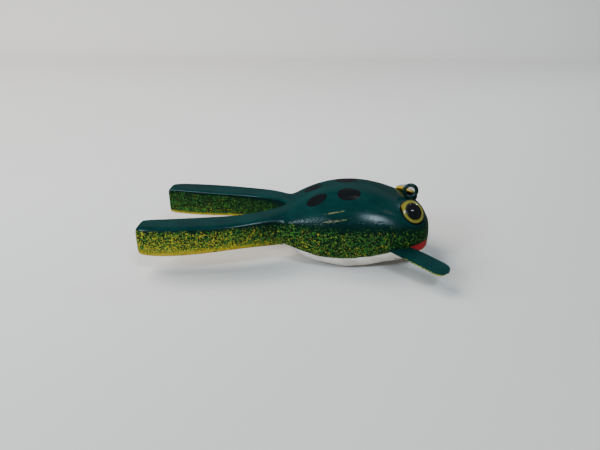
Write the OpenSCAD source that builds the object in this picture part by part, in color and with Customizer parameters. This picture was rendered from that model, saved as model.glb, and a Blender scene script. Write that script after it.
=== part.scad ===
// Carved frog decoy: one wooden body with hind legs, bendable sheet metal
// front legs, glass eyes, a screw eye for the line and poured lead ballast.
// +X points to the nose, +Y to the frog's left, +Z up. The origin is the
// middle of the flat that the belly rests on.

/* [Carved body] */
// Length of the trunk from the nose to the crotch of the hind legs
trunk_l = 76; // [60:1:100]
// Greatest width of the trunk
trunk_w = 53; // [42:1:70]
// Height of the back above the belly flat
trunk_h = 40.5; // [32:0.5:54]
// Length of the hind legs behind the crotch
leg_l = 72.5; // [50:0.5:95]
// Sideways spread of the hind legs as a share of the carved one
leg_spread = 1; // [0.85:0.01:1.2]
// Times the carved shape is smoothed
smooth_steps = 2; // [1:1:2]

/* [Glass eyes] */
// Diameter of the eye over its enamelled back
eye_d = 13; // [9:0.1:15]
// Height of the clear dome
dome_h = 3.8; // [2:0.1:5]
// Thickness of the enamelled back
back_t = 1.5; // [0.8:0.1:2.5]
// Diameter of the black pupil
pupil_d = 9.2; // [5:0.1:10]
// Thickness of the pupil
pupil_t = 0.8; // [0.4:0.1:1.5]
// Distance of the eyes ahead of the belly's middle
eye_x = 36.4; // [28:0.1:42]
// Distance of each eye from the middle plane
eye_y = 14; // [10:0.1:18]
// Height of the eyes' front edge above the belly flat
eye_z = 31.1; // [26:0.1:40]
// Turn of each eye away from straight ahead
eye_turn = 54; // [30:1:80]
// Lift of each eye above level
eye_lift = 43; // [20:1:60]
// Length of the wire stem
stem_l = 12; // [6:1:20]
// Diameter of the wire stem
stem_d = 1.2; // [0.8:0.1:2]

/* [Front legs] */
// Thickness of the sheet metal
sheet_t = 0.8; // [0.4:0.1:1.2]
// Width of the strip
strip_w = 10.9; // [8:0.1:15]
// Length from the bend to the rounded tip
strip_l = 26; // [18:0.5:40]
// Length of the strip inside the saw cut
tab_l = 9; // [6:0.5:14]
// Distance of the bend ahead of the belly's middle
root_x = 31.6; // [22:0.1:38]
// Distance of the bend from the middle plane
root_y = 23.5; // [18:0.1:30]
// Height of the bend above the belly flat
root_z = 13.6; // [8:0.1:20]
// Angle between the bend and the middle plane
root_turn = 15; // [0:1:30]
// Forward sweep of the right leg, from straight out
right_sweep = 51; // [-30:1:60]
// Forward sweep of the left leg, from straight out
left_sweep = -8; // [-30:1:60]
// Droop of both legs as they leave the wood
droop = 8.5; // [0:0.5:25]
// Diameter of the brad through each tab
brad_d = 1.2; // [0.8:0.1:2]
// Length of the brad
brad_l = 13; // [8:0.5:20]

/* [Line tie] */
// Outside diameter of the screw eye's ring
ring_d = 8.6; // [7:0.1:12]
// Wire diameter of the screw eye
wire_d = 2; // [1:0.1:2.5]
// Height of the ring's middle above the belly flat
ring_z = 37; // [33:0.1:44]
// Distance of the ring ahead of the belly's middle
ring_x = 36.2; // [26:0.1:42]
// Length of the screw shank below the ring
shank_l = 15; // [8:1:22]

/* [Ballast] */
// Diameter of each poured lead plug
lead_d = 13.6; // [8:0.2:14]
// Depth of each lead plug
lead_l = 28; // [15:1:30]
// Depth of the lead below the belly flat, filled and painted over
lead_sink = 1.2; // [1:0.1:2]
// Distance between the two plugs' middles
lead_gap = 16; // [15:0.5:20]
// Distance of the pair ahead of the belly's middle
lead_x = 3.5; // [0:0.5:6]

/* [Hidden] */
sx = trunk_l / 76;
sy = trunk_w / 53;
sz = trunk_h / 40.5;
lx = leg_l / 72.5;
eps = 0.001;
$fn = 64;
// one row per cross section of the trunk, nose first:
// ahead of the crotch, half width, top, bottom, shoulder, chine
trunk_rows = [
    [76.4, 9.9, 22.2, 9.4, 18.2, 13.4],
    [74.1, 17, 27.4, 6.2, 19.6, 12.8],
    [67.8, 22, 31.6, 4.6, 21.4, 13],
    [58, 24.8, 36.2, 2.8, 23.4, 14],
    [44, 26.6, 40.3, -0.2, 22.9, 10.6],
    [30, 26.2, 41, -1.3, 21.9, 8.4],
    [17, 23.6, 38.2, 1, 21.6, 8.8],
    [7, 21, 33, 5, 24.2, 10.2],
    [1.5, 19.4, 28.8, 11, 23.8, 12.9]
];
// one row per cross section of a hind leg, crotch first:
// behind the crotch, inner face, outer face, top, bottom
leg_rows = [
    [5, 6.8, 21.2, 28.2, 11.8],
    [20, 14, 28.2, 26.8, 13.2],
    [40, 17.2, 33, 26.4, 11.4],
    [58, 20.2, 34.8, 26.2, 10.2],
    [69, 22, 34.4, 26.2, 10.4],
    [72.4, 22.3, 33.4, 25.8, 10.9]
];
// the leg's outline in shares of its width and height
leg_outline = [[0, 1.02], [0.25, 1.01], [0.88, 1.02], [1, 0.93], [1, 0.5], [1, 0.08],
    [0.88, -0.01], [0.35, 0], [0, 0], [0, 0.2], [0, 0.5], [0, 0.86]];
crotch_x = -30;
rim_r = eye_d / 2;
dome_r = (rim_r * rim_r + dome_h * dome_h) / (2 * dome_h);
ring_r = (ring_d - wire_d) / 2;

function total(v, i = 0) = i == len(v) - 1 ? v[i] : v[i] + total(v, i + 1);
function mean(v) = total(v) / len(v);
function starts(f, i = 0, s = 0) = i == len(f) ? [] :
    concat([s], starts(f, i + 1, s + len(f[i])));

function trunk_ring(r) = let (
        x = (r[0] + crotch_x) * sx, a = r[1] * sy, t = r[2] * sz, b = r[3] * sz,
        s = r[4] * sz, c = r[5] * sz, h = t - s)
    [[x, 0, t], [x, -0.42 * a, s + 0.985 * h], [x, -0.78 * a, s + 0.72 * h],
     [x, -a, s + 0.28 * h], [x, -1.03 * a, s - 0.35 * (s - c)], [x, -0.97 * a, c],
     [x, -0.8 * a, b + 0.12 * (c - b)], [x, -0.42 * a, b], [x, 0, b]];
function leg_ring(r) = let (
        x = crotch_x * sx - r[0] * lx, w = r[2] - r[1], h = r[4] - r[3])
    [for (p = leg_outline) [x, -(r[1] + p[0] * w) * leg_spread,
        (r[3] + (1 - p[1]) * h) * sz]];

// right half of the control cage
nt = len(trunk_rows);
nl = len(leg_rows);
trunk_pts = [for (r = trunk_rows) each trunk_ring(r)];
nose = trunk_ring(trunk_rows[0]);
nose_pts = [for (k = [1:7]) [nose[k].x + 0.5, 0, nose[k].z]];
fork = trunk_ring(trunk_rows[nt - 1]);
wall_pts = [for (v = [0.25, 0.5, 0.75])
    [fork[0].x, 0, fork[8].z + v * (fork[0].z - fork[8].z)]];
leg_pts = [for (r = leg_rows) each leg_ring(r)];
last_ring = leg_ring(leg_rows[nl - 1]);
end_mid = mean(last_ring);
end_pts = [for (p = last_ring) end_mid + (p - end_mid) * 0.8 - [0.7, 0, 0]];
half_pts = concat(trunk_pts, nose_pts, wall_pts, leg_pts, end_pts);
n0 = 9 * nt;
w0 = n0 + 7;
l0 = w0 + 3;
function ring_ids(s) = s < 0
    ? concat([for (k = [0:8]) 9 * (nt - 1) + k], [w0, w0 + 1, w0 + 2])
    : [for (k = [0:11]) l0 + 12 * s + k];
half_faces = concat(
    [for (s = [0:nt - 2], k = [0:7]) [9 * s + k, 9 * s + k + 1, 9 * s + k + 10, 9 * s + k + 9]],
    [[0, n0, 1]],
    [for (k = [1:6]) [k, n0 + k - 1, n0 + k, k + 1]],
    [[7, n0 + 6, 8]],
    [for (s = [0:nl], k = [0:11]) let (a = ring_ids(s - 1), b = ring_ids(s))
        [a[k], a[(k + 1) % 12], b[(k + 1) % 12], b[k]]],
    [ring_ids(nl)]);
// both halves, sharing the points of the middle plane
off_ids = [for (i = [0:len(half_pts) - 1]) if (abs(half_pts[i].y) > eps) i];
twin = search([for (i = [0:len(half_pts) - 1]) i], off_ids);
cage_pts = concat(half_pts, [for (i = off_ids) [half_pts[i].x, -half_pts[i].y, half_pts[i].z]]);
function twin_id(i) = abs(half_pts[i].y) > eps ? len(half_pts) + twin[i] : i;
cage_faces = concat(half_faces,
    [for (f = half_faces) [for (k = [len(f) - 1:-1:0]) twin_id(f[k])]]);

// one smoothing step: every face splits at its middle and its edges
function smoothed(m) = let (
        v = m[0], f = m[1], nv = len(v), nf = len(f),
        mid = [for (q = f) mean([for (i = q) v[i]])],
        st = starts(f),
        he = [for (j = [0:nf - 1], i = [0:len(f[j]) - 1])
            [f[j][i], f[j][(i + 1) % len(f[j])], j, st[j] + (i + len(f[j]) - 1) % len(f[j])]],
        key = [for (h = he) h[0] * nv + h[1]],
        other = search([for (h = he) h[1] * nv + h[0]], key),
        own = [for (i = [0:len(he) - 1]) if (he[i][0] < he[i][1]) i],
        rank = search([for (i = [0:len(he) - 1]) he[i][0] < he[i][1] ? i : other[i]], own),
        out = search([for (i = [0:nv - 1]) i], [for (h = he) h[0]], 0),
        moved = [for (i = [0:nv - 1]) let (o = out[i], n = len(o))
            (mean([for (k = o) mid[he[k][2]]]) + mean([for (k = o) v[i] + v[he[k][1]]])
            + (n - 3) * v[i]) / n],
        edge = [for (i = own)
            (v[he[i][0]] + v[he[i][1]] + mid[he[i][2]] + mid[he[other[i]][2]]) / 4])
    [concat(moved, mid, edge),
     [for (k = [0:len(he) - 1])
        [he[k][0], nv + nf + rank[k], nv + he[k][2], nv + nf + rank[he[k][3]]]]];

module carved() {
    m1 = smoothed([cage_pts, cage_faces]);
    m = smooth_steps > 1 ? smoothed(m1) : m1;
    polyhedron(points = m[0], faces = [for (q = m[1]) each [[q[0], q[2], q[1]], [q[0], q[3], q[2]]]]);
}

module at_eye(side) {
    translate([eye_x * sx, side * eye_y * sy, eye_z * sz])
        rotate([0, 0, side * eye_turn]) rotate([0, 90 - eye_lift, 0]) children();
}

// local +X runs forward along the bend, +Y outward, +Z up
module at_root(side) {
    translate([root_x * sx, side * root_y * sy, root_z * sz])
        rotate([0, 0, -side * root_turn]) mirror([0, side < 0 ? 1 : 0, 0])
            rotate([-droop, 0, 0]) children();
}

// half the strip's length along the bend when it crosses it at a skew
function root_half(skew) = strip_w / 2 / cos(skew);

module leg_blade(side, skew) {
    tip = (strip_l - strip_w / 2) * [sin(skew), cos(skew)];
    wide = strip_w / 2 * [cos(skew), -sin(skew)];
    r = root_half(skew);
    color([0.04, 0.22, 0.19]) at_root(side) {
        translate([0, 0, -sheet_t / 2]) linear_extrude(sheet_t) {
            polygon([[-r, 0], [r, 0], tip + wide, tip - wide]);
            translate(tip) circle(strip_w / 2);
        }
        translate([-r, 0, 0]) rotate([0, 90, 0]) cylinder(h = 2 * r, r = sheet_t / 2);
    }
}

module leg_tab(side, skew) {
    r = root_half(skew);
    y0 = -sheet_t / 2 - 0.05;
    back = -tab_l * tan(skew);
    color([0.55, 0.56, 0.56]) difference() {
        at_root(side) translate([0, 0, -sheet_t / 2]) linear_extrude(sheet_t)
            polygon([[-r, y0], [r, y0], [r + back / 2, -tab_l], [-r + back / 2, -tab_l]]);
        brad_at(side) translate([0, 0, -30]) cylinder(h = 60, d = brad_d + 0.1);
    }
}

// upright through the middle of the tab
module brad_at(side) {
    translate([root_x * sx, side * root_y * sy, 0]) rotate([0, 0, -side * root_turn])
        translate([-1.5, -side * tab_l * 0.55, root_z * sz]) children();
}

module leg_brad(side) {
    color([0.62, 0.6, 0.56]) brad_at(side)
        translate([0, 0, -brad_l * 0.55]) {
            cylinder(h = brad_l - 1.5, d = brad_d);
            translate([0, 0, brad_l - 1.5]) cylinder(h = 1.5, d1 = brad_d, d2 = 0.2);
        }
}

module kerf(side, skew) {
    at_root(side) translate([-root_half(skew) - 4.5, -tab_l - 0.3, -sheet_t / 2 - 0.1])
        cube([2 * root_half(skew) + 9, tab_l + 6, sheet_t + 0.2]);
}

module body() {
    color([0.05, 0.25, 0.2]) difference() {
        carved();
        translate([-120, -60, -20]) cube([240, 120, 20]);
        for (s = [-1, 1]) {
            at_eye(s) {
                translate([0, 0, -back_t]) cylinder(h = 20, r = rim_r + 0.15);
                translate([0, 0, -back_t - stem_l - 0.5]) cylinder(h = 20, d = stem_d + 0.1);
            }
            brad_at(s) translate([0, 0, -brad_l * 0.55 - 12])
                cylinder(h = brad_l + 12.3, d = brad_d + 0.1);
            translate([lead_x + s * lead_gap / 2, 0, -1]) cylinder(h = lead_l + 1, d = lead_d);
        }
        kerf(-1, right_sweep - root_turn);
        kerf(1, left_sweep - root_turn);
        translate([ring_x * sx, 0, ring_z * sz - ring_r - shank_l - 0.3])
            cylinder(h = 20, d = wire_d + 0.1);
    }
}

module ballast(x) {
    color([0.42, 0.43, 0.45]) translate([x, 0, lead_sink])
        cylinder(h = lead_l - lead_sink, d = lead_d);
}

module screw_eye() {
    color([0.07, 0.28, 0.22]) translate([ring_x * sx, 0, ring_z * sz]) {
        rotate([90, 0, 0]) rotate_extrude() translate([ring_r, 0]) circle(d = wire_d, $fn = 32);
        translate([0, 0, -ring_r - shank_l + 2.5]) cylinder(h = shank_l - 2.5, d = wire_d);
        translate([0, 0, -ring_r - shank_l]) cylinder(h = 2.5, d1 = 0.2, d2 = wire_d);
    }
}

module eye_back(s) {
    color([0.72, 0.66, 0.16]) at_eye(s) difference() {
        translate([0, 0, -back_t]) cylinder(h = back_t, r = rim_r);
        translate([0, 0, -back_t - 1]) cylinder(h = 2, d = stem_d + 0.04);
    }
}

module eye_stem(s) {
    color([0.6, 0.58, 0.52]) at_eye(s)
        translate([0, 0, -back_t - stem_l]) cylinder(h = stem_l + 1, d = stem_d);
}

module eye_pupil(s) {
    color([0.03, 0.03, 0.03]) at_eye(s) cylinder(h = pupil_t, d = pupil_d);
}

module eye_glass(s) {
    color([0.85, 0.9, 0.92, 0.4]) at_eye(s) difference() {
        intersection() {
            translate([0, 0, dome_h - dome_r]) sphere(dome_r, $fn = 64);
            cylinder(h = dome_h + 1, r = rim_r + 1);
        }
        translate([0, 0, -1]) cylinder(h = pupil_t + 1.02, d = pupil_d + 0.04);
    }
}

module ballast_front() ballast(lead_x + lead_gap / 2);
module ballast_rear() ballast(lead_x - lead_gap / 2);
module right_leg_blade() leg_blade(-1, right_sweep - root_turn);
module right_leg_tab() leg_tab(-1, right_sweep - root_turn);
module right_leg_brad() leg_brad(-1);
module left_leg_blade() leg_blade(1, left_sweep - root_turn);
module left_leg_tab() leg_tab(1, left_sweep - root_turn);
module left_leg_brad() leg_brad(1);
module right_eye_back() eye_back(-1);
module right_eye_pupil() eye_pupil(-1);
module right_eye_glass() eye_glass(-1);
module right_eye_stem() eye_stem(-1);
module left_eye_back() eye_back(1);
module left_eye_pupil() eye_pupil(1);
module left_eye_glass() eye_glass(1);
module left_eye_stem() eye_stem(1);

body();
ballast_front();
ballast_rear();
right_leg_blade();
right_leg_tab();
right_leg_brad();
left_leg_blade();
left_leg_tab();
left_leg_brad();
screw_eye();
right_eye_back();
right_eye_pupil();
right_eye_glass();
right_eye_stem();
left_eye_back();
left_eye_pupil();
left_eye_glass();
left_eye_stem();
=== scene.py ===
import math
import random

import bmesh
import bpy
import numpy as np
from mathutils import Matrix, Vector


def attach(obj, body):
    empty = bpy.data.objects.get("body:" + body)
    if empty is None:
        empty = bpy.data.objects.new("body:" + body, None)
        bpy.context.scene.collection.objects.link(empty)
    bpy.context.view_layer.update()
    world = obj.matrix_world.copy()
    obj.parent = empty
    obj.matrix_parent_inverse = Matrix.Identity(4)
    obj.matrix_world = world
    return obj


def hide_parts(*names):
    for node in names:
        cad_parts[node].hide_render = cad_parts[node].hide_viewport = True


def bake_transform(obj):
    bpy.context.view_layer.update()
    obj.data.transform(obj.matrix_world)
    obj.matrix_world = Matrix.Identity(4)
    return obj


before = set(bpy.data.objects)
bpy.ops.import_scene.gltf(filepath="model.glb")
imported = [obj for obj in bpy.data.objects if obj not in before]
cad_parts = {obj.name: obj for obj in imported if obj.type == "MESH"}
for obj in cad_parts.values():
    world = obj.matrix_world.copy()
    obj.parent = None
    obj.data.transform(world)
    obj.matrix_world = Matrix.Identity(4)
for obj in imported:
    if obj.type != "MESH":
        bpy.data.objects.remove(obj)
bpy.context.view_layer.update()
mm = 0.001


def say(text):
    print("frog decoy:", text)


class Wire:  # one socket of a finish, with plain arithmetic
    def __init__(self, finish, socket):
        self.finish, self.socket = finish, socket

    def __add__(self, other):
        return self.finish.maths("ADD", self, other)

    def __radd__(self, other):
        return self.finish.maths("ADD", other, self)

    def __sub__(self, other):
        return self.finish.maths("SUBTRACT", self, other)

    def __rsub__(self, other):
        return self.finish.maths("SUBTRACT", other, self)

    def __mul__(self, other):
        return self.finish.maths("MULTIPLY", self, other)

    def __rmul__(self, other):
        return self.finish.maths("MULTIPLY", other, self)

    def __truediv__(self, other):
        return self.finish.maths("DIVIDE", self, other)

    def __pow__(self, other):
        return self.finish.maths("POWER", self, other)

    def __neg__(self):
        return self.finish.maths("MULTIPLY", self, -1.0)

    def low(self, other):
        return self.finish.maths("MINIMUM", self, other)

    def high(self, other):
        return self.finish.maths("MAXIMUM", self, other)

    def size(self):
        return self.finish.maths("ABSOLUTE", self, 0.0)


class Finish:  # a material and its node tree
    def __init__(self, name):
        self.material = bpy.data.materials.new(name)
        self.material.use_nodes = True
        self.tree = self.material.node_tree
        self.tree.nodes.clear()

    def add(self, kind, settings=None, inputs=None, output=0):
        node = self.tree.nodes.new(kind)
        for key, value in (settings or {}).items():
            setattr(node, key, value)
        for key, value in (inputs or {}).items():
            socket = node.inputs[key]
            if isinstance(value, Wire):
                self.tree.links.new(value.socket, socket)
            elif socket.type == "RGBA" and len(value) == 3:
                socket.default_value = (*value, 1)
            else:
                socket.default_value = value
        return Wire(self, node.outputs[output]) if len(node.outputs) else None

    def maths(self, operation, a, b):
        return self.add("ShaderNodeMath", {"operation": operation}, {0: a, 1: b})

    def step(self, value, start, end):
        return self.add("ShaderNodeMapRange", {"interpolation_type": "SMOOTHSTEP"},
                        {"Value": value, "From Min": start, "From Max": end})

    def blend(self, share, a, b):
        return self.add("ShaderNodeMix", {"data_type": "RGBA"}, {0: share, 6: a, 7: b}, 2)

    def noise(self, place, scale, detail=2.0, rough=0.5, distortion=0.0):
        return self.add("ShaderNodeTexNoise", {}, {
            "Vector": place, "Scale": scale, "Detail": detail,
            "Roughness": rough, "Distortion": distortion})

    def bump(self, height, strength, distance, normal=None):
        inputs = {"Height": height, "Strength": strength, "Distance": distance}
        if normal:
            inputs["Normal"] = normal
        return self.add("ShaderNodeBump", {}, inputs)

    def place(self):
        return self.add("ShaderNodeTexCoord", output=3)

    def facing(self):
        return self.add("ShaderNodeTexCoord", output=1)

    def axes(self, vector):
        node = self.tree.nodes.new("ShaderNodeSeparateXYZ")
        self.tree.links.new(vector.socket, node.inputs[0])
        return [Wire(self, o) for o in node.outputs]

    def stretched(self, place, scale):
        return self.add("ShaderNodeMapping", {}, {"Vector": place, "Scale": scale})

    def surface(self, **inputs):
        shader = self.add("ShaderNodeBsdfPrincipled", {}, {
            key.replace("_", " "): value for key, value in inputs.items()})
        self.add("ShaderNodeOutputMaterial", {}, {"Surface": shader})
        return self.material


def clearSelection():
    bpy.ops.object.select_all(action="DESELECT")


def activate(piece):
    clearSelection()
    piece.select_set(True)
    bpy.context.view_layer.objects.active = piece


def editing(piece):
    activate(piece)
    bpy.ops.object.mode_set(mode="EDIT")
    bpy.ops.mesh.select_mode(type="VERT")
    bpy.ops.mesh.select_all(action="DESELECT")


def finished():
    bpy.ops.object.mode_set(mode="OBJECT")


def meshNow(piece):
    return bmesh.from_edit_mesh(piece.data)


def pick(piece, kind, test):
    grid = meshNow(piece)
    for part in {"VERT": grid.verts, "EDGE": grid.edges, "FACE": grid.faces}[kind]:
        part.select_set(False)
    bpy.ops.mesh.select_mode(type=kind)
    grid = meshNow(piece)
    for part in {"VERT": grid.verts, "EDGE": grid.edges, "FACE": grid.faces}[kind]:
        part.select_set(bool(test(part)))
    grid.select_flush_mode()
    bmesh.update_edit_mesh(piece.data)


def named(name):
    piece = bpy.context.active_object
    piece.name = name
    piece.data.name = name
    return piece


def settle(piece):
    activate(piece)
    bpy.ops.object.transform_apply(location=True, rotation=True, scale=True)


def apply(piece, kind, **settings):
    activate(piece)
    modifier = piece.modifiers.new(kind.lower(), kind)
    for key, value in settings.items():
        setattr(modifier, key, value)
    bpy.ops.object.modifier_apply(modifier=modifier.name)


def outward(piece):
    editing(piece)
    bpy.ops.mesh.select_all(action="SELECT")
    bpy.ops.mesh.remove_doubles(threshold=0.000002)
    bpy.ops.mesh.normals_make_consistent(inside=False)
    finished()


def smoothed(piece, angle=35):
    activate(piece)
    bpy.ops.object.shade_smooth_by_angle(angle=math.radians(angle))


def wear(piece, material, body):
    piece.data.materials.clear()
    piece.data.materials.append(material)
    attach(piece, body)


camera = {"place": (-4.3, -258.5, 132.9), "down": 24.4, "turn": 4.0, "lens": 30.8}
bpy.ops.object.camera_add(
    location=[v * mm for v in camera["place"]],
    rotation=(math.radians(90 - camera["down"]), 0, math.radians(camera["turn"])))
eyeView = bpy.context.active_object
eyeView.data.lens = camera["lens"]
eyeView.data.sensor_width = 36
eyeView.data.clip_start = 0.01
bpy.context.scene.camera = eyeView
say("camera set")

stage = {"size": 3.6, "backAt": 1.1, "wall": 0.22, "cove": 0.2}
bpy.ops.mesh.primitive_plane_add(size=stage["size"], location=(0, stage["backAt"] - stage["size"] / 2, 0))
floor = named("floor")
settle(floor)
editing(floor)
pick(floor, "EDGE", lambda e: all(v.co.y > stage["backAt"] - 0.01 for v in e.verts))
bpy.ops.mesh.extrude_region_move(TRANSFORM_OT_translate={"value": (0, 0, stage["wall"])})
pick(floor, "EDGE", lambda e: all(v.co.y > stage["backAt"] - 0.01 and v.co.z < 0.1 for v in e.verts))
bpy.ops.mesh.bevel(offset=stage["cove"], segments=24, affect="EDGES")
finished()
smoothed(floor, 60)


def studioPaper():
    f = Finish("studioPaper")
    place = f.place()
    x, y, z = f.axes(place)
    share = f.step(y - x * 0.9, -0.34, 0.3)  # painted light: the paper is lighter at the back left and darker in front and to the right, where less lamp light falls
    tone = f.blend(share, (0.50, 0.472, 0.43), (0.80, 0.77, 0.73))
    tone = f.blend(f.noise(place, 3.0, 3.0) * 0.3, tone, (0.62, 0.59, 0.55))
    return f.surface(Base_Color=tone, Roughness=0.85)


floor.data.materials.append(studioPaper())
floor.visible_glossy = False  # the varnish doesn't show the paper

lamps = {
    "windowLeft": {"at": (-0.95, -0.83, 0.75), "size": (0.42, 0.40),
                   "watts": 10, "tone": (0.62, 0.81, 1)},
    "windowRight": {"at": (0.34, -0.66, 0.90), "size": (0.36, 0.26),
                    "watts": 5.5, "tone": (0.62, 0.81, 1)},
    "ceiling": {"at": (-1.25, 0.25, 1.5), "size": (1.6, 1.4),
                "watts": 46, "tone": (1, 0.98, 0.95), "fill": True},
    "bulb": {"at": (0.12, 0.5, 1.35), "size": (0.06, 0.06), "watts": 0.22, "tone": (1, 0.98, 0.95)},
    "sideGlow": {"at": (0.75, 0.65, 0.68), "size": (0.14, 0.14),
                 "watts": 1.8, "tone": (0.6, 0.8, 1)},
    "coreLeft": {"at": (-0.92, -0.80, 0.72), "size": (0.11, 0.11),
                 "watts": 2.2, "tone": (0.85, 0.94, 1)},
    "coreRight": {"at": (0.33, -0.64, 0.87), "size": (0.08, 0.08),
                  "watts": 1.1, "tone": (0.85, 0.94, 1)},
    "eyeLight": {"at": (0.64, -0.04, 1.15), "size": (0.08, 0.08), "watts": 0.25, "tone": (1, 1, 1)},
    "leftPool": {"at": (-0.4, 0.35, 0.9), "size": (0.3, 0.3),
                 "watts": 2, "tone": (1, 0.98, 0.96), "fill": True},
    "backGlow": {"at": (0, 1.6, 0.95), "size": (2.2, 0.7), "watts": 0.6, "tone": (1, 1, 1)},
    "roomSide": {"at": (0.1, -1.7, 0.5), "size": (1.6, 0.8),
                 "watts": 4, "tone": (1, 0.99, 0.97), "fill": True},
}
for name, lamp in lamps.items():
    bpy.ops.object.light_add(type="AREA", location=lamp["at"])
    light = bpy.context.active_object
    light.name = name
    light.data.shape = "RECTANGLE"
    light.data.size, light.data.size_y = lamp["size"]
    light.data.energy = lamp["watts"]
    light.data.color = lamp["tone"]
    light.visible_glossy = not lamp.get("fill")  # fill light isn't seen in the varnish
    light.rotation_euler = (Vector((0, 0, 0.02)) - Vector(lamp["at"])).to_track_quat("-Z", "Y").to_euler()
room = {"tone": (0.93, 0.96, 1, 1), "strength": 0.08}
sky = bpy.data.worlds.new("roomLight")
bpy.context.scene.world = sky
sky.use_nodes = True
sky.node_tree.nodes["Background"].inputs[0].default_value = room["tone"]
sky.node_tree.nodes["Background"].inputs[1].default_value = room["strength"]
say("stage lit")

carving = {
    "crotch": -30.0,
    # nose first: ahead of the crotch, half width, top, bottom, shoulder, chine
    "trunk": [(76.4, 9.9, 22.2, 9.4, 18.2, 13.4), (74.1, 17, 27.4, 6.2, 19.6, 12.8),
              (67.8, 22, 31.6, 4.6, 21.4, 13), (58, 24.8, 36.2, 2.8, 23.4, 14),
              (44, 26.6, 40.3, -0.2, 22.9, 10.6), (30, 26.2, 41, -1.3, 21.9, 8.4),
              (17, 23.6, 38.2, 1, 21.6, 8.8), (7, 21, 33, 5, 24.2, 10.2),
              (1.5, 19.4, 28.8, 11, 23.8, 12.9)],
    # crotch first: behind the crotch, inner face, outer face, top, bottom
    "leg": [(5, 6.8, 21.2, 28.2, 11.8), (20, 14, 28.2, 26.8, 13.2), (40, 17.2, 33, 26.4, 11.4),
            (58, 20.2, 34.8, 26.2, 10.2), (69, 22, 34.4, 26.2, 10.4), (72.4, 22.3, 33.4, 25.8, 10.9)],
    "legShape": [(0, 1.02), (0.25, 1.01), (0.88, 1.02), (1, 0.93), (1, 0.5), (1, 0.08),
                 (0.88, -0.01), (0.35, 0), (0, 0), (0, 0.2), (0, 0.5), (0, 0.86)],
}


def trunkSection(row):
    ahead, half, top, bottom, shoulder, chine = row
    x, rise = ahead + carving["crotch"], top - shoulder
    return [Vector(p) * mm for p in (
        (x, 0, top), (x, -0.42 * half, shoulder + 0.985 * rise), (x, -0.78 * half, shoulder + 0.72 * rise),
        (x, -half, shoulder + 0.28 * rise), (x, -1.03 * half, shoulder - 0.35 * (shoulder - chine)),
        (x, -0.97 * half, chine), (x, -0.8 * half, bottom + 0.12 * (chine - bottom)),
        (x, -0.42 * half, bottom), (x, 0, bottom))]


def legSection(row):
    behind, inner, outer, top, bottom = row
    return [Vector((carving["crotch"] - behind, -(inner + across * (outer - inner)),
                    bottom + up * (top - bottom))) * mm for across, up in carving["legShape"]]


def pulled(piece, chain, section, closed):  # extrude a chain of points and set it on the next section
    grid = meshNow(piece)
    grid.verts.ensure_lookup_table()
    links = list(zip(chain, chain[1:] + chain[:1])) if closed else list(zip(chain, chain[1:]))
    wanted = {frozenset(pair) for pair in links}
    bpy.ops.mesh.select_mode(type="EDGE")
    grid = meshNow(piece)
    for edge in grid.edges:
        edge.select_set(frozenset(v.index for v in edge.verts) in wanted)
    grid.verts.ensure_lookup_table()
    olds = [grid.verts[i].co.copy() for i in chain]
    count = len(grid.verts)
    bmesh.update_edit_mesh(piece.data)
    bpy.ops.mesh.extrude_edges_move(TRANSFORM_OT_translate={"value": (-0.5 * mm, 0, 0)})
    grid = meshNow(piece)
    grid.verts.index_update()
    fresh = [v for v in grid.verts if v.index >= count]
    ring = []
    for old, goal in zip(olds, section):
        near = min(fresh, key=lambda v: (v.co - old - Vector((-0.5 * mm, 0, 0))).length)
        ring.append((near, goal))
    for vert, goal in ring:
        vert.co = goal
    order = [vert.index for vert, goal in ring]
    bmesh.update_edit_mesh(piece.data)
    return order


def carveBody():
    bpy.ops.mesh.primitive_circle_add(vertices=9, radius=10 * mm, fill_type="NOTHING")
    piece = named("carvedBody")
    editing(piece)
    sections = [trunkSection(row) for row in carving["trunk"]]
    grid = meshNow(piece)
    grid.verts.ensure_lookup_table()
    for vert, goal in zip(grid.verts, sections[0]):
        vert.co = goal
    bmesh.update_edit_mesh(piece.data)
    pick(piece, "EDGE", lambda e: {v.index for v in e.verts} == {0, 8})
    bpy.ops.mesh.delete(type="EDGE")
    chain = list(range(9))
    nose = [Vector((p.x + (0.5 * mm if 0 < k < 8 else 0), 0, p.z)) for k, p in enumerate(sections[0])]
    pulled(piece, chain, nose, False)
    for section in sections[1:]:
        chain = pulled(piece, chain, section, False)
    grid = meshNow(piece)  # the wall of the crotch: one edge from bottom to top, cut in four
    grid.verts.ensure_lookup_table()
    top, bottom = grid.verts[chain[0]].co.copy(), grid.verts[chain[8]].co.copy()
    pick(piece, "VERT", lambda v: v.index in (chain[0], chain[8]))
    bpy.ops.mesh.edge_face_add()
    pick(piece, "EDGE", lambda e: {v.index for v in e.verts} == {chain[0], chain[8]})
    bpy.ops.mesh.subdivide(number_cuts=3)
    grid = meshNow(piece)
    grid.verts.index_update()
    wall = []
    for share in (0.25, 0.5, 0.75):
        spot = bottom.lerp(top, share)
        wall.append(min(grid.verts, key=lambda v: (v.co - spot).length).index)
    ring = chain + wall
    for row in carving["leg"]:
        ring = pulled(piece, ring, legSection(row), True)
    rim = legSection(carving["leg"][-1])
    middle = sum(rim, Vector()) / len(rim)
    ring = pulled(piece, ring, [middle + (p - middle) * 0.8 - Vector((0.7 * mm, 0, 0)) for p in rim], True)
    pick(piece, "VERT", lambda v: v.index in ring)
    bpy.ops.mesh.edge_face_add()
    bpy.ops.mesh.select_all(action="SELECT")
    bpy.ops.mesh.remove_doubles(threshold=0.00001)
    finished()
    apply(piece, "MIRROR", use_axis=(False, True, False), merge_threshold=0.00002)
    outward(piece)
    apply(piece, "SUBSURF", levels=3, render_levels=3)
    return piece


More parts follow.
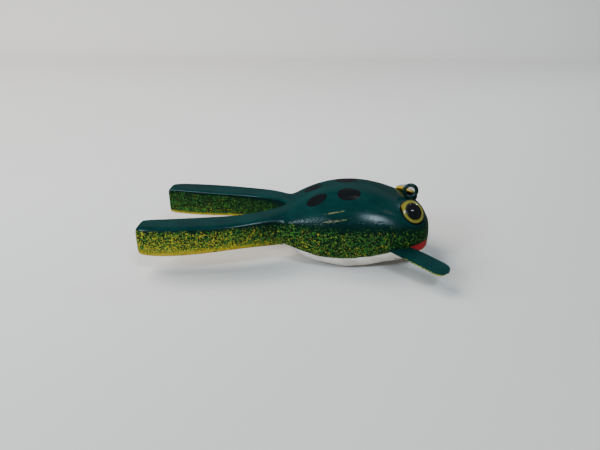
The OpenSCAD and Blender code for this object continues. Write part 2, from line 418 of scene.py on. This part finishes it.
def planed(piece, cuts):  # a knife flat: what stands proud of each small plane is pressed onto it
    count = len(piece.data.vertices)
    places = np.zeros(count * 3)
    piece.data.vertices.foreach_get("co", places)
    places = places.reshape(-1, 3)
    for centre, normal, reach, depth in cuts:
        normal = np.array(normal) / np.linalg.norm(normal)
        offset = places - np.array(centre)
        proud = offset @ normal + depth
        aside = np.linalg.norm(offset - np.outer(offset @ normal, normal), axis=1)
        share = np.clip((reach * 1.35 - aside) / (reach * 0.35), 0, 1)
        near = (np.abs(offset @ normal) < 2.5 * mm)
        places -= np.outer(np.where((proud > 0) & near, proud * share, 0), normal)
    piece.data.vertices.foreach_set("co", places.ravel())
    piece.data.update()


knife = {"seed": 11, "cuts": 70, "depth": 0.42}


def knifeWork(piece):  # small flats that a knife leaves along the white belly
    chance = random.Random(knife["seed"])
    places = [(v.co.copy(), v.normal.copy()) for v in piece.data.vertices]
    below = [(c, n) for c, n in places if c.z < 7 * mm and -22 * mm < c.x < 30 * mm and -0.985 < n.z < -0.3]
    below.sort(key=lambda spot: [round(v, 5) for v in spot[0]])  # points come in a varying order
    cuts = []
    for i in range(knife["cuts"]):
        place, normal = below[chance.randrange(len(below))]
        turn = np.array([chance.uniform(-0.05, 0.05) for j in range(3)])
        cuts.append((place, np.array(normal) + turn, chance.uniform(3.0, 5.5) * mm,
                     knife["depth"] * mm * chance.uniform(0.3, 1)))
    planed(piece, cuts)
    for vert in piece.data.vertices:  # the flat that the frog rests on
        vert.co.z = max(vert.co.z, 0.0)


def cutter(name, matrix):
    tool = named(name)
    tool.data.transform(matrix)
    return tool


def cutAway(piece, tool):
    apply(piece, "BOOLEAN", operation="DIFFERENCE", solver="EXACT", object=tool)
    bpy.data.objects.remove(tool)


eye = {"ahead": 36.4, "aside": 14.0, "height": 31.1, "turn": 54.0, "lift": 43.0, "rim": 6.5, "gap": 0.7,
       "back": 1.5, "dome": 3.8, "pupil": 4.6, "pupilThick": 0.8}
strip = {"ahead": 31.6, "aside": 23.5, "height": 13.6, "turn": 15.0, "droop": 8.5, "thick": 0.8,
         "width": 10.9, "length": 26.0, "tab": 9.0, "sweep": {-1: 51.0, 1: -8.0}, "sag": 0.3}


def eyeFrame(side):
    return (Matrix.Translation(Vector((eye["ahead"], side * eye["aside"], eye["height"])) * mm)
            @ Matrix.Rotation(math.radians(side * eye["turn"]), 4, "Z")
            @ Matrix.Rotation(math.radians(90 - eye["lift"]), 4, "Y"))


def rootFrame(side):
    flip = Matrix.Scale(-1, 4, (0, 1, 0)) if side < 0 else Matrix.Identity(4)
    return (Matrix.Translation(Vector((strip["ahead"], side * strip["aside"], strip["height"])) * mm)
            @ Matrix.Rotation(math.radians(-side * strip["turn"]), 4, "Z") @ flip
            @ Matrix.Rotation(math.radians(-strip["droop"]), 4, "X"))


body = carveBody()
knifeWork(body)
for side in (-1, 1):
    bpy.ops.mesh.primitive_cylinder_add(vertices=96, radius=(eye["rim"] + eye["gap"]) * mm, depth=12 * mm,
                                        location=(0, 0, (6 - eye["back"]) * mm))
    settle(bpy.context.active_object)
    cutAway(body, cutter("socketTool", eyeFrame(side)))
    bpy.ops.mesh.primitive_cube_add(size=1, location=(0, (3 - strip["tab"] / 2) * mm, 0),
                                    scale=(22 * mm, (strip["tab"] + 6) * mm, 1.0 * mm))
    settle(bpy.context.active_object)
    cutAway(body, cutter("sawTool", rootFrame(side)))
outward(body)
say("body carved, %d faces" % len(body.data.polygons))

paint = {
    "topGreen": (0.0003, 0.019, 0.018), "sheen": (0.001, 0.029, 0.026), "shade": (0.0, 0.0075, 0.0055),
    "sideGreen": (0.0, 0.012, 0.0055),
    "leaf": (0.033, 0.145, 0.018), "gold": (0.27, 0.32, 0.022), "richGold": (0.48, 0.315, 0.008),
    "white": (0.78, 0.73, 0.65), "soiled": (0.60, 0.53, 0.44),
    "lip": (0.31, 0.011, 0.015), "spot": (0.005, 0.006, 0.0065), "worn": (0.12, 0.12, 0.05),
}
spots = [  # ahead, aside, half length, half width, turn
    (3.6, -11.5, 6.0, 5.0, 3), (-12.9, -12.6, 5.2, 3.7, 14),
    (-15.4, 2.2, 5.0, 4.0, -10), (2.4, 6.2, 6.2, 5.0, -4),
]
rubs = [  # middle, height, half length, half width, rise
    (-3.5, 32.3, 5.2, 0.33, 0.22), (-3.0, 28.8, 6.4, 0.45, 0.19),
]
# the white of the belly and the red lip, in the row frame's millimetres
bellyLine = {"lowest": 8.0, "lowestAt": -6, "rearBow": 0.0088, "frontBow": 0.0045,
             "climb": 5.2, "waver": 1.4}
lipBand = {"rise": 0.16, "height": 15.1, "from": 33, "deepest": 5.2}


def stripes(f, x, y, z):  # two thin places rubbed pale on the right flank
    mask = None
    for middle, height, long, wide, rise in rubs:
        along = (x - middle) / long
        off = (z - height - (x - middle) * rise) / wide
        line = f.step(along * along + off * off, 1.2, 0.6)
        mask = line if mask is None else mask.high(line)
    return mask * f.step(y, -10, -14)


def woodPaint():
    f = Finish("paintedWood")
    place = f.place()
    x, y, z = f.axes(place)
    nx, ny, nz = f.axes(f.facing())
    x, y, z = x / mm, y / mm, z / mm
    cloud = f.noise(place, 90, 3, 0.55)
    brush = f.noise(f.stretched(place, (60, 420, 420)), 1.0, 3, 0.6)
    top = f.blend(f.step(cloud + brush * 0.4, 0.45, 0.95), paint["topGreen"], paint["sheen"])
    # dabs of leaf green and yellow, denser lower down and along the hind legs
    ragged = f.noise(place, 210, 3, 0.6) - 0.5
    onLegs = f.step(x, -24, -58)
    onHead = f.step(x, 22, 32)
    # painted shade: fewer yellow dabs on the inner faces of the legs by the crotch, where shade falls
    # between the legs
    inside = f.step(x, -30, -36) * f.step(ny * y, 0.002, -0.006)
    sideways = f.step(nz, 0.66, 0.36)
    reachUp = f.step(z + ragged * 5, 28.5, 21.5) * (1 - onLegs) + f.step(z + ragged * 3, 26.6, 23.6) * onLegs
    spread = reachUp * sideways
    dabs = f.noise(place, 980, 1.2, 0.6, 0.6)
    fleck = f.noise(place, 1250, 1.0, 0.5, 0.8)
    patches = f.noise(place, 75, 2, 0.5) - 0.5
    lower = f.step(z, 25, 9)
    rich = (lower * 0.05 - 0.055 + onLegs * (lower * 0.06 + 0.085) + patches * 0.12
            - onHead * 0.04 - inside * 0.13)
    leaf = f.step(dabs + rich * 0.3 + (spread - 1) * 0.14, 0.525, 0.56) * spread
    gold = f.step(fleck + rich + (spread - 1) * 0.16, 0.61, 0.66) * spread
    hem = onLegs * f.step(nz + dabs * 0.3, 0.15, -0.1)
    gold = gold.high(hem * f.step(fleck, 0.34, 0.42))
    leafTone = f.blend(f.noise(place, 300, 1), tuple(v * 0.75 for v in paint["leaf"]), paint["leaf"])
    ripe = (f.noise(place, 200, 1) + rich - 0.05).high(hem * 0.9)
    goldTone = f.blend(ripe, paint["gold"], paint["richGold"])
    # painted shade: the green is darker where the surface turns to the side, for the dark room it faces
    top = f.blend(f.step(nz, 0.75, 0.25) * 0.6, top, paint["shade"])
    ground = f.blend(spread, top, paint["sideGreen"])
    colour = f.blend(gold, f.blend(leaf, ground, leafTone), goldTone)
    # spots on the back
    edge = (f.noise(place, 330, 2) - 0.5) * 0.10
    mark = None
    for ahead, aside, long, wide, turn in spots:
        c, s = math.cos(math.radians(turn)), math.sin(math.radians(turn))
        u = ((x - ahead) * c + (y - aside) * s) / long
        v = ((y - aside) * c - (x - ahead) * s) / wide
        spot = f.step(u * u + v * v + edge, 1.06, 0.94)
        mark = spot if mark is None else mark.high(spot)
    mark = mark * f.step(nz, 0.1, 0.3)
    colour = f.blend(mark, colour, paint["spot"])
    rub = stripes(f, x, y, z) * f.step(f.noise(place, 800, 2), 0.38, 0.5)
    colour = f.blend(rub, colour, paint["worn"])
    # white belly, with the lip's red band across the nose
    upper = (x - 36) * lipBand["rise"] + lipBand["height"] + (f.noise(place, 240, 1) - 0.5) * 0.5
    deep = ((x - lipBand["from"]) * 0.68).low(lipBand["deepest"]).high(0)
    rear = f.step(x, bellyLine["lowestAt"] + 0.5, bellyLine["lowestAt"] - 0.5)
    along = x - bellyLine["lowestAt"]
    bow = rear * bellyLine["rearBow"] + (1 - rear) * bellyLine["frontBow"]
    line = (along * along * bow).low(bellyLine["climb"])
    line = line + bellyLine["lowest"] + (f.noise(place, 160, 2) - 0.5) * bellyLine["waver"]
    line = line.low(upper - deep + rear * 10)
    belly = f.step(z - line, 0.35, -0.35) * f.step(x, -30.5, -29.5)
    grime = f.noise(place, 120, 4, 0.65)
    whiteTone = f.blend(f.step(grime, 0.42, 0.75), paint["white"], paint["soiled"])
    colour = f.blend(belly, colour, whiteTone)
    lip = f.step(z - upper, 0.2, -0.2) * f.step(upper - deep - z, 0.25, -0.25) * f.step(x, 35.6, 36.2)
    lipTone = f.blend(f.noise(place, 200, 3), paint["lip"], tuple(v * 1.35 for v in paint["lip"]))
    colour = f.blend(lip, colour, lipTone)
    # dark glue and painted shade of the socket gap round each eye
    near = None
    for side in (-1, 1):
        ux, uy, uz = x - eye["ahead"], y - side * eye["aside"], z - eye["height"]
        reach = (ux * ux + uy * uy + uz * uz) ** 0.5
        near = reach if near is None else near.low(reach)
    glueAndSocketShade = f.step(near, eye["rim"] + eye["gap"] + 0.45, eye["rim"] + eye["gap"] + 0.15)
    colour = f.blend(glueAndSocketShade, colour, (0.002, 0.003, 0.003))
    # enamel shines, dabs are drier, the belly is satin
    scuff = f.noise(place, 900, 2, 0.7)
    rough = (cloud * 0.10 + 0.15 + spread * 0.12 + gold * 0.12) * (1 - belly) + belly * 0.45 + scuff * 0.05
    # dabs stand up over brush marks and a little wood grain
    flank = f.step(z, 22, 26) * f.step(z, 36, 32) * sideways * (1 - onLegs)  # rough with overspray
    relief = (gold * 0.5 + leaf * 0.35 + brush * 0.30 + fleck * spread * 0.3 + mark * 0.3
              + flank * f.noise(place, 900, 2, 0.6) * 7 + scuff * 0.10
              + f.noise(f.stretched(place, (110, 900, 900)), 1.0, 2) * 0.30)
    normal = f.bump(relief, 0.35, 0.12 * mm)
    return f.surface(Base_Color=colour, Roughness=rough, Normal=normal, IOR=1.48, Specular_IOR_Level=0.24)


smoothed(body, 40)
wear(body, woodPaint(), "frog")
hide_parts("body")
say("body painted")


def frontLeg(side, name):  # one strip, bent and straightened to its outline in its own frame
    skew = math.radians(strip["sweep"][side] - strip["turn"])
    along = Vector((math.sin(skew), math.cos(skew), 0))
    square = Vector((math.cos(skew), -math.sin(skew), 0))
    atRoot = Vector((1 / math.cos(skew), 0, 0))
    half, tip = strip["width"] / 2, strip["length"] - strip["width"] / 2
    inWood = strip["tab"] / math.cos(skew) * 0.9
    bpy.ops.mesh.primitive_plane_add(size=1)
    leg = named(name)
    editing(leg)
    bpy.ops.mesh.select_all(action="SELECT")
    bpy.ops.mesh.subdivide(number_cuts=63)
    finished()
    for vert in leg.data.vertices:
        u, t = vert.co.x * 2, vert.co.y + 0.5
        s = -inWood + t * (strip["length"] + inWood)
        turned = min(max((s - 1) / 9, 0), 1)
        across = atRoot.lerp(square, turned * turned * (3 - 2 * turned))
        reach = half
        if s > tip:
            reach = half * math.sqrt(max(0.0, 1 - ((s - tip) / half) ** 2.3))
        point = along * s + across * u * reach * (0.955 + 0.045 * min(max(s / 10, 0), 1))
        past = max(s - 5, 0)
        vert.co = Vector((point.x, point.y, -strip["sag"] * (past / 22) ** 1.6 - 0.12 * u * u)) * mm
    editing(leg)
    bpy.ops.mesh.select_all(action="SELECT")
    bpy.ops.mesh.remove_doubles(threshold=0.00004)
    finished()
    apply(leg, "SOLIDIFY", thickness=strip["thick"] * mm, offset=0)
    apply(leg, "BEVEL", width=0.22 * mm, segments=3, limit_method="ANGLE", angle_limit=math.radians(50))
    leg.data.transform(rootFrame(side))
    outward(leg)
    smoothed(leg, 40)
    return leg


def legPaint():
    f = Finish("paintedSheet")
    place = f.place()
    nx, ny, nz = f.axes(f.facing())
    x, y, z = f.axes(place)
    cloud = f.noise(place, 120, 3, 0.6)
    brush = f.noise(f.stretched(place, (300, 90, 300)), 1.0, 3, 0.6)
    top = f.blend(f.step(cloud + brush * 0.4, 0.45, 0.95), paint["topGreen"], paint["sheen"])
    dabs = f.noise(place, 1150, 1.5, 0.6, 0.6)
    outer = f.step(y.size() / mm, 27, 37)
    under = f.step(nz + (dabs - 0.5) * 0.9, 0.55, 0.05)
    gold = under * f.step(dabs + outer * 0.22, 0.65, 0.71)
    colour = f.blend(gold, top, paint["gold"])
    scuff = f.noise(place, 900, 2, 0.7)
    relief = brush * 0.5 + gold * 0.4 + scuff * 0.15
    return f.surface(Base_Color=colour, Roughness=cloud * 0.14 + 0.26 + gold * 0.12,
                     Normal=f.bump(relief, 0.3, 0.10 * mm), IOR=1.48, Specular_IOR_Level=0.36)


sheetFinish = legPaint()
for side, name, rides in ((-1, "rightFrontLeg", "right_leg"), (1, "leftFrontLeg", "left_leg")):
    leg = frontLeg(side, name)
    leg.data.materials.append(sheetFinish)
    root = rootFrame(side)
    root @ Vector((0, -0.4 * mm, 0))
    root @ Vector((0, 2.2 * mm, 0))
    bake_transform(leg)
    cadName = name.replace("FrontLeg", "").lower() + "_leg_"
    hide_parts(cadName + "blade", cadName + "tab")
say("front legs bent and painted")


def marked(piece, name, value):  # a number on every point of the mesh, for its finish to read
    field = piece.data.attributes.new(name, "FLOAT", "POINT")
    for vert, item in zip(piece.data.vertices, field.data):
        item.value = value(vert.co)


def enamelFinish():
    f = Finish("yellowEnamel")
    ring = f.add("ShaderNodeAttribute", {"attribute_name": "ring"}, output=2)
    depth = f.add("ShaderNodeAttribute", {"attribute_name": "depth"}, output=2)
    place = f.place()
    mottle = f.noise(place, 700, 3, 0.6)
    tone = f.blend(f.step(mottle, 0.35, 0.7), (0.35, 0.30, 0.03), (0.45, 0.40, 0.05))
    tone = f.blend(f.step(ring, 0.90, 1.0), tone, (0.10, 0.085, 0.018))
    tone = f.blend(f.step(ring, 0.80, 0.70), tone, (0.12, 0.10, 0.02))
    tone = f.blend(f.step(depth, 0.10, 0.30), tone, (0.36, 0.23, 0.01))
    x, y, z = f.axes(place)
    shaded = f.step(depth, 0.05, 0.2) * f.step(z / mm, eye["height"] + 3, eye["height"] + 1.5)
    tone = f.blend(shaded, tone, (0.004, 0.004, 0.003))
    return f.surface(Base_Color=tone, Roughness=mottle * 0.15 + 0.28, IOR=1.5,
                     Normal=f.bump(mottle, 0.15, 0.05 * mm))


def pupilFinish():
    f = Finish("blackEnamel")
    place = f.place()
    dust = f.noise(place, 900, 3, 0.7)
    tone = f.blend(f.step(dust, 0.5, 0.8), (0.003, 0.003, 0.004), (0.010, 0.010, 0.012))
    return f.surface(Base_Color=tone, Roughness=dust * 0.1 + 0.10, IOR=1.5,
                     Coat_Weight=0.6, Coat_Roughness=0.05)


def glassFinish():
    f = Finish("clearGlass")
    place = f.place()
    smear = f.noise(place, 260, 3, 0.6)
    clear = f.add("ShaderNodeBsdfTransparent", {}, {"Color": (0.97, 0.98, 0.975)})
    shine = f.add("ShaderNodeBsdfPrincipled", {}, {
        "Base Color": (0.9, 0.93, 0.93), "Roughness": smear * 0.05 + 0.02, "Metallic": 1.0})
    edge = f.add("ShaderNodeFresnel", {}, {"IOR": 1.5})
    both = f.add("ShaderNodeMixShader", {}, {0: edge * 0.5 + 0.006, 1: clear, 2: shine})
    f.add("ShaderNodeOutputMaterial", {}, {"Surface": both})
    return f.material


enamel, black, glass = enamelFinish(), pupilFinish(), glassFinish()
for side, word in ((-1, "right"), (1, "left")):
    rim, back = eye["rim"], eye["back"]
    bpy.ops.mesh.primitive_cylinder_add(vertices=96, radius=rim * mm, depth=back * mm,
                                        location=(0, 0, -back / 2 * mm))
    disc = named(word + "EyeBack")
    settle(disc)
    editing(disc)
    pick(disc, "FACE", lambda q: q.normal.z > 0.9)
    bpy.ops.mesh.inset(thickness=0.9 * mm, depth=0)
    bpy.ops.mesh.inset(thickness=0.9 * mm, depth=0)
    bpy.ops.mesh.inset(thickness=1.2 * mm, depth=0)
    bpy.ops.mesh.inset(thickness=1.6 * mm, depth=0)
    finished()
    apply(disc, "BEVEL", width=0.18 * mm, segments=3, limit_method="ANGLE", angle_limit=math.radians(50))
    marked(disc, "ring", lambda p: math.hypot(p.x, p.y) / (rim * mm))
    marked(disc, "depth", lambda p: max(0.0, -p.z / (back * mm)))
    disc.data.transform(eyeFrame(side))
    smoothed(disc, 40)
    wear(disc, enamel, "frog")
    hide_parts(word + "_eye_back")

    bpy.ops.mesh.primitive_cylinder_add(vertices=80, radius=eye["pupil"] * mm, depth=eye["pupilThick"] * mm,
                                        location=(0, 0, eye["pupilThick"] / 2 * mm))
    pupil = named(word + "EyePupil")
    settle(pupil)
    editing(pupil)
    for step in range(5):
        pick(pupil, "FACE", lambda q: q.normal.z > 0.5 and len(q.verts) > 10)
        bpy.ops.mesh.inset(thickness=0.7 * mm, depth=(0.11 - 0.02 * step) * mm)
    finished()
    apply(pupil, "BEVEL", width=0.2 * mm, segments=3, limit_method="ANGLE", angle_limit=math.radians(50))
    pupil.data.transform(eyeFrame(side))
    smoothed(pupil, 50)
    wear(pupil, black, "frog")
    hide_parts(word + "_eye_pupil")

    ball = (rim * rim + eye["dome"] ** 2) / (2 * eye["dome"])
    bpy.ops.mesh.primitive_uv_sphere_add(segments=96, ring_count=96, radius=ball * mm,
                                         location=(0, 0, (eye["dome"] - ball) * mm))
    dome = named(word + "EyeGlass")
    settle(dome)
    editing(dome)
    bpy.ops.mesh.select_all(action="SELECT")
    bpy.ops.mesh.bisect(plane_co=(0, 0, -0.05 * mm), plane_no=(0, 0, 1), use_fill=True, clear_inner=True)
    finished()
    apply(dome, "BEVEL", width=0.12 * mm, segments=2, limit_method="ANGLE", angle_limit=math.radians(25))
    dome.data.transform(eyeFrame(side))
    outward(dome)
    smoothed(dome, 50)
    wear(dome, glass, "frog")
    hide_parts(word + "_eye_glass")
say("glass eyes set")

lineTie = {"ahead": 36.2, "height": 37.0, "ring": 3.3, "wire": 1.0, "gap": 9.0,
           "rings": 26, "pitch": 0.45, "root": 0.8, "point": 1.6}


def bendScrewEye():
    ring, wire = lineTie["ring"], lineTie["wire"]
    bpy.ops.mesh.primitive_circle_add(vertices=28, radius=wire * mm, fill_type="NGON",
                                      location=(0, 0, -ring * mm), rotation=(0, math.pi / 2, 0))
    tie = named("screwEye")
    settle(tie)
    editing(tie)
    bpy.ops.mesh.select_all(action="SELECT")
    bpy.ops.mesh.spin(steps=72, angle=math.radians(360 - lineTie["gap"]), center=(0, 0, 0), axis=(0, 1, 0))
    finished()
    return tie


tie = bendScrewEye()
say("screw eye %d faces" % len(tie.data.polygons))
bpy.ops.mesh.primitive_cylinder_add(vertices=28, radius=lineTie["wire"] * mm, depth=1 * mm,
                                    location=(0, 0, -(lineTie["ring"] + 0.9) * mm))
shank = named("screwShank")
settle(shank)
editing(shank)
for step in range(lineTie["rings"]):
    pick(shank, "FACE", lambda q: q.normal.z < -0.9 and len(q.verts) > 10)
    bpy.ops.mesh.extrude_region_move(TRANSFORM_OT_translate={"value": (0, 0, -lineTie["pitch"] * mm)})
    grow = lineTie["root"] if step % 2 == 0 else 1 / lineTie["root"]
    bpy.ops.transform.resize(value=(grow, grow, 1))
pick(shank, "FACE", lambda q: q.normal.z < -0.9 and len(q.verts) > 10)
bpy.ops.mesh.extrude_region_move(TRANSFORM_OT_translate={"value": (0, 0, -lineTie["point"] * mm)})
bpy.ops.transform.resize(value=(0.15, 0.15, 1))
finished()
clearSelection()
shank.select_set(True)
tie.select_set(True)
bpy.context.view_layer.objects.active = tie
bpy.ops.object.join()
tie.data.transform(Matrix.Translation(Vector((lineTie["ahead"], 0, lineTie["height"])) * mm))
outward(tie)
smoothed(tie, 45)


def wirePaint():
    f = Finish("paintedWire")
    place = f.place()
    chips = f.noise(place, 700, 4, 0.7)
    cloud = f.noise(place, 300, 2)
    bare = f.step(chips, 0.66, 0.70)
    tone = f.blend(cloud, (0.0004, 0.012, 0.010), (0.002, 0.024, 0.019))
    tone = f.blend(bare, tone, (0.42, 0.27, 0.10))
    return f.surface(Base_Color=tone, Metallic=bare * 0.9, Roughness=chips * 0.2 + 0.16,
                     Normal=f.bump(bare * -0.6 + chips * 0.3, 0.4, 0.06 * mm), IOR=1.5)


wear(tie, wirePaint(), "frog")
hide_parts("screw_eye")
say("screw eye bent")


def leadFinish():
    f = Finish("pouredLead")
    place = f.place()
    skin = f.noise(place, 240, 4, 0.6)
    tone = f.blend(f.step(skin, 0.35, 0.7), (0.10, 0.105, 0.115), (0.24, 0.25, 0.26))
    return f.surface(Base_Color=tone, Metallic=0.6, Roughness=skin * 0.3 + 0.35,
                     Normal=f.bump(skin, 0.4, 0.1 * mm))


def steelFinish(name, tone):
    f = Finish(name)
    place = f.place()
    drawn = f.noise(f.stretched(place, (900, 900, 120)), 1.0, 3)
    colour = f.blend(drawn, tone, tuple(v * 1.4 for v in tone))
    return f.surface(Base_Color=colour, Metallic=1.0, Roughness=drawn * 0.2 + 0.25,
                     Normal=f.bump(drawn, 0.2, 0.03 * mm))


lead, steel = leadFinish(), steelFinish("drawnSteel", (0.32, 0.30, 0.27))
for node, finish in (("ballast_front", lead), ("ballast_rear", lead), ("right_leg_brad", steel),
                     ("left_leg_brad", steel), ("right_eye_stem", steel), ("left_eye_stem", steel)):
    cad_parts[node].data.materials.clear()
    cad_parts[node].data.materials.append(finish)
say("inner pieces finished")
